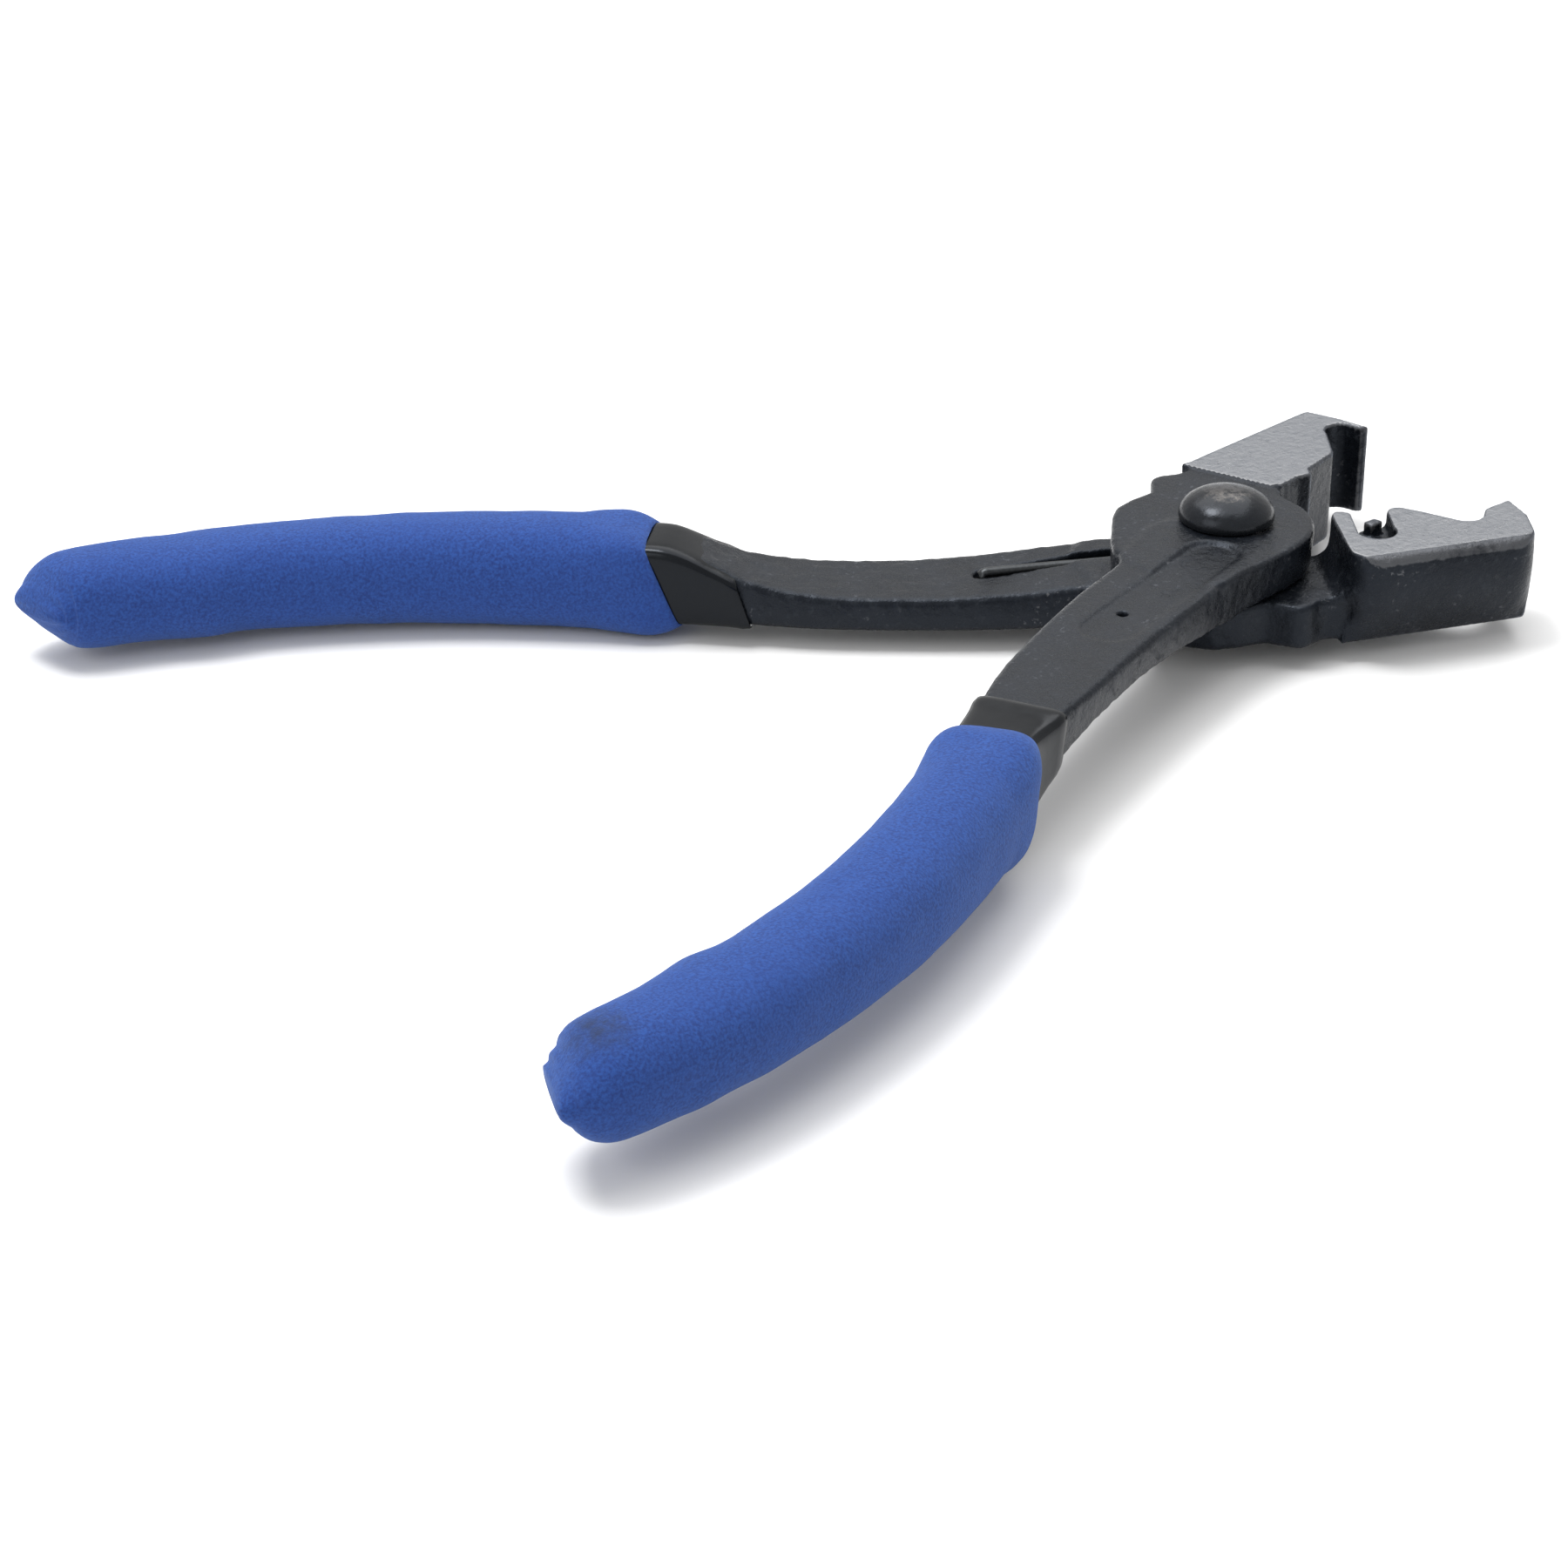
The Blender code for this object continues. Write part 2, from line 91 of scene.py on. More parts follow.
SLEEVE_WALL = 0.5
SLEEVE_BUILD = 0.55         # the vinyl thickens by this much away from its mouth
SLEEVE_TILT = 0.32
SNUG = 0.05                 # a dipped skin touches what it covers
FOAM_LIP = 0.45             # thickness of the foam at its mouth
FOAM_TILT = 0.42
MOUTH_FADE = 18.0           # a mouth's lean fades out over this length
TANG_POWER = 7              # how square a tang is: see section_grid

JAW_TIP = (39.3, 16.0)
JAW_NOSE = (37.4, 21.4)
JAW_CORNER = (35.0, 26.1)
JAW_HEEL = (7.6, 19.5)
RUBBED = 0.6                # flat rubbed along the jaws' outer edge
SWELL = (2.5, 3.2, 3.1, 1.9, 0.0)   # forging swell at five even heights from -HALF to HALF
SWELL_MOST = max(SWELL)
SWELL_OUT = 0.85            # a swell of 1 moves the outer side this far along Y

# Slabs that fill in a half: outline, middle height, half thickness
LAND = ([(6.2, 19.4), (12.7, 5.8), (17.0, 6.5), (20.0, 16.0), (12.0, 19.8)], 6.0, 1.0)
WEB = ([(12.2, 16.6), (14.2, 10.6), (16.4, 9.6), (17.6, 9.0), (19.8, 9.2), (22.4, 10.4), (20.9, 12.6),
        (18.6, 16.8), (15.2, 18.4)], 0.9, 5.3)
NIB = ([(16.9, 10.3), (19.2, 10.0), (19.6, 11.6), (17.3, 12.0)], -4.5, 2.0)

# Shallow round-ended panel in the arm's outer face
PANEL = ((-9.0, -8.5), (-35.6, -20.9))
PANEL_RADIUS = 4.0
PANEL_DEPTH = 0.42
PANEL_SLOPE = 0.008         # the arm rises outwards, and the panel's floor with it

# Arm centre line from the joint outwards: x, y, width, underside, top
ARM = np.array([
    (-8.0, -4.6, 17.0, 0.15, 6.7), (-18.5, -11.0, 16.6, 0.3, 6.8), (-28.2, -15.8, 16.2, 1.2, 6.9),
    (-38.3, -21.3, 15.4, 1.8, 7.0), (-50.5, -28.6, 14.3, 1.6, 7.0), (-59.3, -34.4, 12.2, 0.0, 6.9),
    (-67.0, -39.6, 9.4, -3.4, 6.4), (-75.0, -46.2, 9.0, -3.3, 6.3), (-85.0, -53.6, 8.8, -3.1, 6.1),
    (-95.0, -60.1, 8.8, -3.0, 6.0), (-105.0, -65.4, 8.8, -3.0, 6.0), (-115.0, -69.8, 8.8, -2.9, 5.9),
    (-125.0, -73.3, 8.8, -2.8, 5.8), (-138.0, -76.4, 8.0, -2.3, 5.3)])
SLEEVE_FIRST = 5            # row of ARM where the sleeve begins
FORGED_ROWS = 9             # rows of ARM that the forging's grid takes in
FORGED_END = -74.0          # the forging's grid stops here and the plain tang carries on
BORE_END = -139.5           # the foam's bore stops here
# Corners of the forging's grid, clear of the steel all round
FORGED_BOX = ((FORGED_END - 1.5, -60.0, -HALF - 1.0), (JAW_TIP[0] + 2.5, 32.0, HALF + 1.0))

# Foam grip: x, y, half width, half height, middle height
GRIP = np.array([
    (-68.8, -41.1, 7.8, 8.2, 1.7), (-75.0, -46.4, 7.8, 8.2, 1.7), (-85.0, -53.7, 7.7, 8.1, 1.7),
    (-95.0, -60.2, 7.7, 7.8, 1.7), (-105.0, -65.5, 7.7, 7.6, 1.7), (-115.0, -69.9, 7.7, 7.4, 1.7),
    (-123.0, -72.8, 7.8, 7.2, 1.7), (-129.0, -74.1, 8.3, 7.1, 1.7), (-136.0, -76.1, 7.8, 7.0, 1.6),
    (-145.0, -77.6, 7.3, 6.9, 1.4), (-148.6, -77.9, 6.8, 6.0, 1.2), (-151.0, -77.5, 5.8, 3.4, 1.3),
    (-152.3, -77.1, 4.9, 1.2, 1.4)])


# ---------------------------------------------------------------- plan outlines

def arc(centre, radius, start, end, steps):
    """Points centre + radius (cos a, sin a) for a from start to end degrees."""
    turn = np.radians(np.linspace(start, end, steps + 1))
    return [(centre[0] + radius * math.cos(a), centre[1] + radius * math.sin(a)) for a in turn]


def plate_outline():
    """Joint plate: round boss, two lugs and the heel that runs into the arm."""
    jaw_side = [(14.2, 5.6), (17.0, 10.0), (12.0, 19.4), (7.6, 18.8), (4.9, 17.7)]
    back_lug = [(-3.2, 14.2), (-7.4, 13.6), (-10.8, 12.3), (-13.4, 9.6), (-15.6, 6.6), (-18.2, 3.2)]
    heel = [(-20.0, 0.2), (-20.2, -4.0), (-18.0, -14.0), (-13.0, -17.0), (-4.0, -14.7), (1.3, -13.2)]
    return arc((0, 0), 12.8, -65, 12, 16) + jaw_side + arc((1.4, 15.8), 2.8, 50, 165, 8) + back_lug + heel


def upper_profile():
    """Working edge of the upper jaw from its tip back to the plate."""
    tip_notch = arc((34.9, 17.0), 2.6, 22, 168, 14)
    ridge = [(30.6, 14.6), (28.8, 11.6), (28.0, 10.8), (21.5, 8.1), (20.6, 6.3)]
    return [JAW_TIP, (38.0, 16.3)] + tip_notch + ridge + [(18.4, 6.6), (16.2, 5.9), (14.2, 5.4)]


def lower_profile():
    """Working edge of the lower jaw from its tip back to the plate."""
    tip_notch = arc((30.7, 16.4), 2.7, 40, 160, 12)
    hump = [(26.0, 13.0)] + arc((22.8, 11.2), 1.8, -20, -145, 10)
    notch = arc((15.9, 14.6), 2.8, 8, 190, 14)
    return [JAW_TIP, (34.3, 16.7)] + tip_notch + hump + notch + [(16.6, 7.8), (15.8, 6.6), (14.8, 6.2),
                                                                  (13.8, 6.8)]


def unit(vector):
    """The same direction, one long."""
    return np.array(vector) / np.linalg.norm(vector)


def turned_corner(before, corner, after, reach):
    """A corner rounded by the curve (1-s)^2 a + 2 s (1-s) c + s^2 b, where a and b lie `reach` from it."""
    corner = np.array(corner)
    a = corner + reach * unit(before - corner)
    b = corner + reach * unit(after - corner)
    share = np.linspace(0, 1, 8)[:, None]
    return [tuple(c) for c in (1 - share) ** 2 * a + 2 * share * (1 - share) * corner + share ** 2 * b]


def jaw_outline(profile, swell):
    """Whole jaw, with its outer side pushed out by the forging swell; swollen steel has round corners."""
    start = (JAW_HEEL[0] - 0.35 * swell, JAW_HEEL[1] + SWELL_OUT * swell)
    end = (JAW_CORNER[0] - 0.3 * swell, JAW_CORNER[1] + SWELL_OUT * swell)
    nose = (JAW_NOSE[0] + 0.25 * swell, JAW_NOSE[1] + 0.1 * swell)
    if swell == 0:
        rear = (JAW_HEEL[0] - 1.2, JAW_HEEL[1] + 0.3)
        return [rear] + profile[::-1] + [nose, end, start]
    outer_side = turned_corner(nose, end, start, 3.4) + turned_corner(end, start, profile[-1], 5.5)
    return profile[::-1] + [nose] + outer_side


# ---------------------------------------------------------------- fields

def to_segment(x, y, a, b):
    """Distance from each point to the segment a-b, and the share of the way along it."""
    dx, dy = b[0] - a[0], b[1] - a[1]
    share = np.clip(((x - a[0]) * dx + (y - a[1]) * dy) / (dx * dx + dy * dy), 0, 1)
    return np.hypot(x - a[0] - share * dx, y - a[1] - share * dy), share


def to_outline(x, y, points):
    """Signed distance to a closed outline: the nearest edge's, negative where a ray from the point crosses
    the outline an odd number of times."""
    near = np.full(x.shape, 1e9)
    inside = np.zeros(x.shape, bool)
    for a, b in zip(points, points[1:] + points[:1]):
        near = np.minimum(near, to_segment(x, y, a, b)[0])
        if a[1] != b[1]:
            crossing = (b[0] - a[0]) * (y - a[1]) / (b[1] - a[1]) + a[0]
            inside ^= ((a[1] > y) != (b[1] > y)) & (x < crossing)
    return np.where(inside, -near, near)


def soften(field, passes, axes):
    """Repeated 1-2-1 averaging along some axes; straight walls stay where they are and corners go round."""
    for _ in range(passes):
        for axis in axes:
            ahead = np.concatenate([np.take(field, range(1, field.shape[axis]), axis),
                                    np.take(field, [-1], axis)], axis)
            behind = np.concatenate([np.take(field, [0], axis),
                                     np.take(field, range(field.shape[axis] - 1), axis)], axis)
            field = 0.5 * field + 0.25 * (ahead + behind)
    return field


def both(a, b, bend):
    """What lies in a and in b, with the edge between them rounded over the width bend."""
    near = np.maximum(bend - np.abs(a - b), 0) / bend
    return np.maximum(a, b) + near * near * bend / 4


def either(a, b, bend):
    """What lies in a or in b, with a fillet of width bend between them."""
    return -both(-a, -b, bend)


def without(a, b, bend):
    """What lies in a and not in b."""
    return both(a, -b, bend)


def ripple(x, y, z, wavelength):
    """Hammered unevenness from -1 to 1: the mean of four sines of unlike direction
    and wavelength, two of them bent by a slower sine."""
    k = 2 * math.pi / wavelength
    total = np.sin(k * (x + 0.31 * y) + 1.7 * np.sin(0.37 * k * y + 0.5 * z))
    total = total + np.sin(k * 1.31 * (0.43 * x - y) + 1.3 * np.sin(0.53 * k * x + z))
    total = total + np.sin(k * 0.77 * (y + 0.9 * z) + 2.1)
    total = total + np.sin(k * 1.73 * (0.8 * x + 0.6 * y - 0.5 * z) + 0.7)
    return total / 4


def smooth_rows(rows, count):
    """Rows of a station table as an even curve: cubic pieces through every row, whose slope there is half
    the difference of the rows on either side."""
    at = np.linspace(0, len(rows) - 1 - 1e-9, count)
    i = at.astype(int)
    t = (at - i)[:, None]
    slope = np.gradient(rows, axis=0)
    a, b, da, db = rows[i], rows[i + 1], slope[i], slope[i + 1]
    return (a * (1 + 2 * t) * (1 - t) ** 2 + da * t * (1 - t) ** 2
            + b * t * t * (3 - 2 * t) + db * t * t * (t - 1))


def arm_field(x, y, z):
    """Forged arm: sideways distance to the centre line less the half width, met with the distance above and
    below the middle height; the sides lean in by the forging draft away from the parting line."""
    rows = smooth_rows(ARM[:FORGED_ROWS], 90)
    near = np.full(x.shape, 1e9)
    size = np.zeros(x.shape + (3,))
    for a, b in zip(rows, rows[1:]):
        away, share = to_segment(x, y, a, b)
        closer = away < near
        near = np.where(closer, away, near)
        size = np.where(closer[..., None], a[2:] + share[..., None] * (b - a)[2:], size)
    half, low, high = size[..., 0] / 2, size[..., 1], size[..., 2]
    middle, tall = (low + high) / 2, (high - low) / 2
    draft = 0.07 * np.abs(z - middle)
    return both(near - half + draft, np.abs(z - middle) - tall, 1.3)


def leg_direction():
    """Point where the upper spring leg leaves the coil, and the leg's unit direction."""
    distance = math.hypot(*LEG_END)
    angle = math.atan2(-LEG_END[1], -LEG_END[0]) - math.asin(COIL_RADIUS / distance)
    along = np.array([-math.cos(angle), -math.sin(angle)])
    tangent = np.array([math.sin(angle), -math.cos(angle)]) * COIL_RADIUS
    return tangent, along


def swell_share(z):
    """Swell of the jaws' outer side at each height, as a share of the most: the cubic nearest SWELL."""
    cubic = np.polyfit(np.linspace(-HALF, HALF, len(SWELL)), SWELL, 3)
    return np.polyval(cubic, z) / SWELL_MOST


def past_bevel(x, y, z):
    """Distance beyond the flat rubbed at 45 degrees along the jaws' outer edge, on the face at -HALF."""
    run = unit(np.array(JAW_CORNER) - JAW_HEEL)
    past_heel = (y - JAW_HEEL[1]) * run[0] - (x - JAW_HEEL[0]) * run[1]
    outward = past_heel - swell_share(z) * SWELL_MOST * SWELL_OUT
    return (outward - z - HALF + RUBBED) * math.sqrt(0.5)


def slab(x, y, z, shape, bend):
    """Flat piece of an outline: inside it, and within its half thickness of its middle height."""
    outline, middle, tall = shape
    return both(to_outline(x, y, outline), np.abs(z - middle) - tall, bend)


def half_field(x, y, z, upper):
    """One forged half: plate, arm and jaw joined, with the upper half's ground land or the lower half's web
    and nib, less the bore, the spring's hollow, groove and hole, and the arm's panel."""
    flat = soften(to_outline(x, y, plate_outline()), ROUNDING, (0, 1))
    middle, tall = (PLATE_TOP + GAP / 2) / 2, (PLATE_TOP - GAP / 2) / 2
    plate = both(flat + PLATE_DRAFT * (PLATE_TOP - z), np.abs(z - middle) - tall, 1.0)
    steel = either(plate, arm_field(x, y, z), 1.5)

    profile = upper_profile() if upper else lower_profile()
    plain, swollen = (to_outline(x, y, jaw_outline(profile, s)) for s in (0.0, SWELL_MOST))
    share = swell_share(z)
    jaw = both(plain * (1 - share) + swollen * share, np.abs(z) - HALF, 0.35)
    jaw = both(jaw, past_bevel(x, y, z), 0.5)
    fillet = 0.6 + 3.4 * np.clip((2.5 - z) / 3, 0, 1)
    steel = either(steel, jaw, fillet)
    if upper:
        steel = either(steel, slab(x, y, z, LAND, 0.2), 0.4)
    steel = np.maximum(steel, np.abs(z) - HALF)
    if not upper:
        steel = either(steel, slab(x, y, z, WEB, 0.4), 0.8)
        steel = either(steel, slab(x, y, z, NIB, 0.4), 0.5)

    # Hammered skin, none of it on the ground faces and little towards the jaw's tip
    hammered = 0.07 * ripple(x, y, z, 5.0) + 0.035 * ripple(y, x, z, 2.1)
    forged = np.clip((HALF - 0.25 - np.abs(z)) / 0.5, 0, 1) * np.clip((30 - x) / 20, 0.25, 1)
    steel = steel + hammered * forged

    away = np.hypot(x, y)
    steel = without(steel, away - RIVET_RADIUS - BORE_CLEARANCE, 0.2)
    steel = without(steel, both(away - COIL_RADIUS - WIRE_RADIUS - COIL_ROOM, z - HOLLOW_TOP, 0.1), 0.3)
    tangent, along = leg_direction()
    groove = to_segment(x, y, tangent, np.array(LEG_END) - along * 0.4)[0] - GROOVE_RADIUS
    steel = without(steel, both(groove, z - HOLLOW_TOP, 0.6), 0.4)
    hole = np.hypot(x - LEG_END[0], y - LEG_END[1]) - HOLE_RADIUS
    steel = without(steel, hole, 0.2)
    panel = to_segment(x, y, *PANEL)[0] - PANEL_RADIUS
    panel_floor = PLATE_TOP - PANEL_DEPTH - PANEL_SLOPE * x
    steel = without(steel, both(panel, panel_floor - z, 0.8), 0.5)
    return both(steel, FORGED_END - x, 0.3)


# ---------------------------------------------------------------- meshes

def place(points, turned_over):
    """Millimetres round the pivot to metres in the frame; the lower half is turned half a turn about X."""
    if turned_over:
        points = points * (1, -1, -1)
    return PIVOT + points * MM


def mesh_piece(name, points, faces, finish, body, node=None, turned_over=False):
    """A finished piece from points and faces, smooth shaded, riding on its body."""
    mesh = bpy.data.meshes.new(name)
    mesh.from_pydata(place(points, turned_over), [], faces)
    mesh.shade_smooth()
    mesh.materials.append(finish)
    made = bpy.data.objects.new(name, mesh)
    bpy.context.scene.collection.objects.link(made)
    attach(made, body)
    if node:
        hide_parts(node)
    return made


def add_number(piece, name, values):
    """A number at each point of a piece, for its material to read."""
    layer = piece.data.attributes.new(name, "FLOAT", "POINT")
    layer.data.foreach_set("value", np.ascontiguousarray(values, np.float32))


def skin(field, origin):
    """Points and faces where a field passes zero, and each point's grid cell.  Each cell that the skin
    crosses gets one point, the mean of where the skin cuts the cell's edges; each grid edge that it cuts gets
    one face, through the four cells round it."""
    cells = tuple(n - 1 for n in field.shape)
    total = np.zeros(cells + (3,), np.float32)
    hits = np.zeros(cells, np.float32)
    inside = field < 0
    cuts = []
    for axis in range(3):
        first = [slice(None)] * 3
        second = [slice(None)] * 3
        first[axis], second[axis] = slice(0, -1), slice(1, None)
        a, b = field[tuple(first)], field[tuple(second)]
        cut = inside[tuple(first)] != inside[tuple(second)]
        share = np.where(cut, a / np.where(cut, a - b, 1), 0)
        cuts.append((cut, inside[tuple(first)]))
        others = [k for k in range(3) if k != axis]
        for du in (0, 1):
            for dv in (0, 1):
                window = [slice(None)] * 3
                window[others[0]] = slice(du, du + cells[others[0]])
                window[others[1]] = slice(dv, dv + cells[others[1]])
                here = cut[tuple(window)]
                hits += here
                total[..., axis] += np.where(here, share[tuple(window)], 0)
                total[..., others[0]] += here * du
                total[..., others[1]] += here * dv
    active = hits > 0
    number = np.full(cells, -1, np.int64)
    number[active] = np.arange(active.sum())
    where = np.argwhere(active)
    points = origin + STEP * (where + total[active] / hits[active][:, None])
    faces = []
    for axis, (cut, start_inside) in enumerate(cuts):
        u, v = (axis + 1) % 3, (axis + 2) % 3
        at = np.argwhere(cut)
        keep = (at[:, u] > 0) & (at[:, v] > 0) & (at[:, u] < cells[u]) & (at[:, v] < cells[v])
        at = at[keep]
        corners = []
        for du, dv in ((1, 1), (0, 1), (0, 0), (1, 0)):
            cell = at.copy()
            cell[:, u] -= du
            cell[:, v] -= dv
            corners.append(number[tuple(cell.T)])
        quad = np.stack(corners, 1)
        flip = ~start_inside[tuple(at.T)]
        quad[flip] = quad[flip][:, ::-1]
        faces.append(quad)
    return points, np.concatenate(faces), where


def forged_half(side, finish):
    """The visible forging, with two numbers at each point: how convex the skin is there, for worn edges, and
    how far it lies in a ground jaw face."""
    low, high = FORGED_BOX
    across, up, tall = (np.arange(a, b, STEP) for a, b in zip(low, high))
    x, y, z = across[:, None, None], up[None, :, None], tall[None, None, :]
    x, y = np.broadcast_arrays(x, y)
    field = half_field(x, y, z, side == "upper").astype(np.float32)
    points, faces, cells = skin(field, np.array(low))
    piece = mesh_piece(side + "_forging", points, faces, finish, side, side + "_half",
                       side == "lower")

    # Averaging raises the field on a convex edge; the mean rise over a cell's eight corners is its convexity
    rise = soften(field, 2, (0, 1, 2)) - field
    i, j, k = cells.T
    convex = sum(rise[i + a, j + b, k + c] for a in (0, 1) for b in (0, 1) for c in (0, 1)) / 8
    on_jaw = np.clip((points[:, 0] - 4) / 8, 0.25, 1)
    by_bevel = (points[:, 0] > 9) & (points[:, 2] < -4)
    bevel = np.exp(-(past_bevel(*points.T) / 0.55) ** 2) * by_bevel
    add_number(piece, "edge", np.clip(convex / 0.08, -1, 1) * on_jaw + bevel)
    (x0, y0), (x1, y1) = LAND[0][:2]
    past_land = (points[:, 0] - x0) * (y0 - y1) + (points[:, 1] - y0) * (x1 - x0) > 0
    add_number(piece, "ground", np.clip((np.abs(points[:, 2]) - HALF + 0.06) / 0.05, 0, 1) * past_land)


def sideways(rows):
    """Unit directions of a plan path at each row: to its side, and along it."""
    along = np.gradient(rows[:, :2], axis=0)
    along /= np.linalg.norm(along, axis=1)[:, None]
    return np.stack([-along[:, 1], along[:, 0]], 1), along


def section_grid(rows, grow, power, count):
    """Grid of points: at each row (x, y, half width, low, high) a rounded box |a/w|^p + |b/h|^p = 1, grown
    all round by `grow`.  The power p is one number or one for each row: 2 is an ellipse, 7 nearly a square."""
    turn = 2 * np.pi * (np.arange(count) + 0.5) / count
    c, s = np.cos(turn), np.sin(turn)
    power = np.broadcast_to(power, len(rows))[:, None]
    a = np.sign(c) * np.abs(c) ** (2 / power)
    b = np.sign(s) * np.abs(s) ** (2 / power)
    side, _ = sideways(rows)
    half = rows[:, 2] + grow
    middle, tall = (rows[:, 3] + rows[:, 4]) / 2, (rows[:, 4] - rows[:, 3]) / 2 + grow
    grid = np.empty((len(rows), count, 3))
    grid[..., :2] = rows[:, None, :2] + side[:, None, :] * (half[:, None] * a)[..., None]
    grid[..., 2] = middle[:, None] + tall[:, None] * b
    return grid


def closed_grid(grid):
    """Points and faces of a grid that is round across and closed to a point at both ends."""
    rows, count = grid.shape[:2]
    points = np.concatenate([grid.reshape(-1, 3), grid[:1].mean(1), grid[-1:].mean(1)])
    i, j = np.meshgrid(np.arange(rows - 1) * count, np.arange(count), indexing="ij")
    k = (j + 1) % count
    quads = np.stack([i + j, i + count + j, i + count + k, i + k], -1).reshape(-1, 4)
    ring = np.arange(count)
    after = (ring + 1) % count
    last_row = (rows - 1) * count
    first = np.stack([np.full(count, rows * count), ring, after], 1)
    last = np.stack([np.full(count, rows * count + 1), last_row + after, last_row + ring], 1)
    return points, quads.tolist() + first.tolist() + last.tolist()


def stretch(rows, length):
    """Station rows with one more, `length` further on along the last direction."""
    step = rows[-1, :2] - rows[-2, :2]
    last = rows[-1].copy()
    last[:2] += step / np.linalg.norm(step) * length
    return np.vstack([rows, last])


def arm_rows(first, count):
    """The arm's stations from one of them on, as half widths, smoothed."""
    rows = ARM[first:].copy()
    rows[:, 2] /= 2
    return smooth_rows(rows, count)


def tang(side, finish):
    """The plain end of a forging under its sleeve: the arm's section carried on along the handle."""
    rows = arm_rows(SLEEVE_FIRST, 60)
    rows = rows[rows[:, 0] < FORGED_END + 0.6]
    points, faces = closed_grid(section_grid(rows, 0, TANG_POWER, 28))
    piece = mesh_piece(side + "_tang", points, faces, finish, side, None, side == "lower")
    add_number(piece, "edge", np.zeros(len(points)))
    add_number(piece, "ground", np.zeros(len(points)))


def lean_mouth(points, rows, tilt, still):
    """Slide points near the first row's mouth along the handle by tilt times their depth below the height
    `still`, fading out over MOUTH_FADE, so that the mouth leans."""
    along = sideways(rows)[1][0]
    run = (points[:, :2] - rows[0, :2]) @ along
    fade = np.clip(1 - run / MOUTH_FADE, 0, 1)
    points[:, :2] += (along * (tilt * (still - points[:, 2]) * fade)[:, None])


def sleeve(side, finish):
    """Dipped vinyl: the arm's section grown by the wall, with a rolled rim, lined by the same section grown
    by SNUG.  The skin runs from inside the toe to the mouth, round the rim, and back outside to the toe."""
    rows = stretch(arm_rows(SLEEVE_FIRST, 70), GAP)
    inner = section_grid(rows[::-1], SNUG, TANG_POWER, 48)
    along = sideways(rows)[1][0]
    rim = []
    for angle in np.radians(np.linspace(180, 0, 9))[1:-1]:
        grow = SNUG + SLEEVE_WALL / 2 * (1 + math.cos(angle))
        ring = section_grid(rows[:3], grow, TANG_POWER, 48)[:1]
        ring[..., :2] -= along * math.sin(angle) * 0.3
        rim.append(ring)
    outer_rows = stretch(rows, 1.3)
    row = np.arange(len(outer_rows))
    bead = 0.12 * np.exp(-((row - 1.2) / 0.9) ** 2)
    build = SLEEVE_BUILD * np.clip(row / 9, 0, 1)
    outer = section_grid(outer_rows, SNUG + SLEEVE_WALL + bead + build, TANG_POWER, 48)
    points, faces = closed_grid(np.concatenate([inner, *rim, outer]))
    lean_mouth(points, rows, SLEEVE_TILT, HALF)
    mesh_piece(side + "_sleeve_skin", points, faces, finish, side, side + "_sleeve",
               side == "lower")


def grip(side, finish):
    """Dipped foam: a squarish round section carried along the handle's curve.  Its mouth hugs the sleeve and
    opens to the full section by the share 1 - (1 - s)^2, s being the share of a 6 mm run; its end is pinched
    to a level ridge; and two ripples make it faintly lumpy."""
    rows = smooth_rows(GRIP, 150)
    run = np.concatenate([[0], np.cumsum(np.linalg.norm(np.diff(rows[:, :2], axis=0), axis=1))])
    full = np.column_stack([rows[:, 2], rows[:, 4] - rows[:, 3], rows[:, 4] + rows[:, 3]])
    arm = ARM[np.argsort(ARM[:, 0])]
    hug = np.column_stack([np.interp(rows[:, 0], arm[:, 0], arm[:, k]) for k in (2, 3, 4)])
    hug[:, 0] /= 2
    close = SNUG + SLEEVE_WALL + SLEEVE_BUILD + FOAM_LIP
    hug += (close, -close, close)
    open_up = 1 - (1 - np.clip(run / 6.0, 0, 1)) ** 2
    shaped = np.column_stack([rows[:, :2], hug + (full - hug) * open_up[:, None]])
    power = 4.5 - 2.1 * np.clip(run / 12, 0, 1)
    outer = section_grid(shaped, 0, power, 96)
    outward = outer - outer.mean(1, keepdims=True)
    outward /= np.linalg.norm(outward, axis=2, keepdims=True)
    x, y, z = outer[..., 0], outer[..., 1], outer[..., 2]
    outer = outer + outward * (0.1 * ripple(x, y, z, 17.0) + 0.05 * ripple(y, z, x, 6.0))[..., None]
    bore = np.column_stack([rows[:, :2], hug])[rows[:, 0] > BORE_END][::-6]
    inner = section_grid(bore, SNUG - FOAM_LIP, TANG_POWER, 96)
    points, faces = closed_grid(np.concatenate([inner, outer]))
    lean_mouth(points, rows, FOAM_TILT, 2.2)
    piece = mesh_piece(side + "_grip_foam", points, faces, finish, side, side + "_grip",
                       side == "lower")


def turned(profile, count=96):
    """Points and faces of a profile of (radius, height) from top to bottom, carried round the pivot axis."""
    radius, height = np.array(profile).T[..., None]
    turn = np.linspace(0, 2 * np.pi, count, endpoint=False)
    return closed_grid(np.stack([radius * np.cos(turn), radius * np.sin(turn), height + 0 * turn], -1))


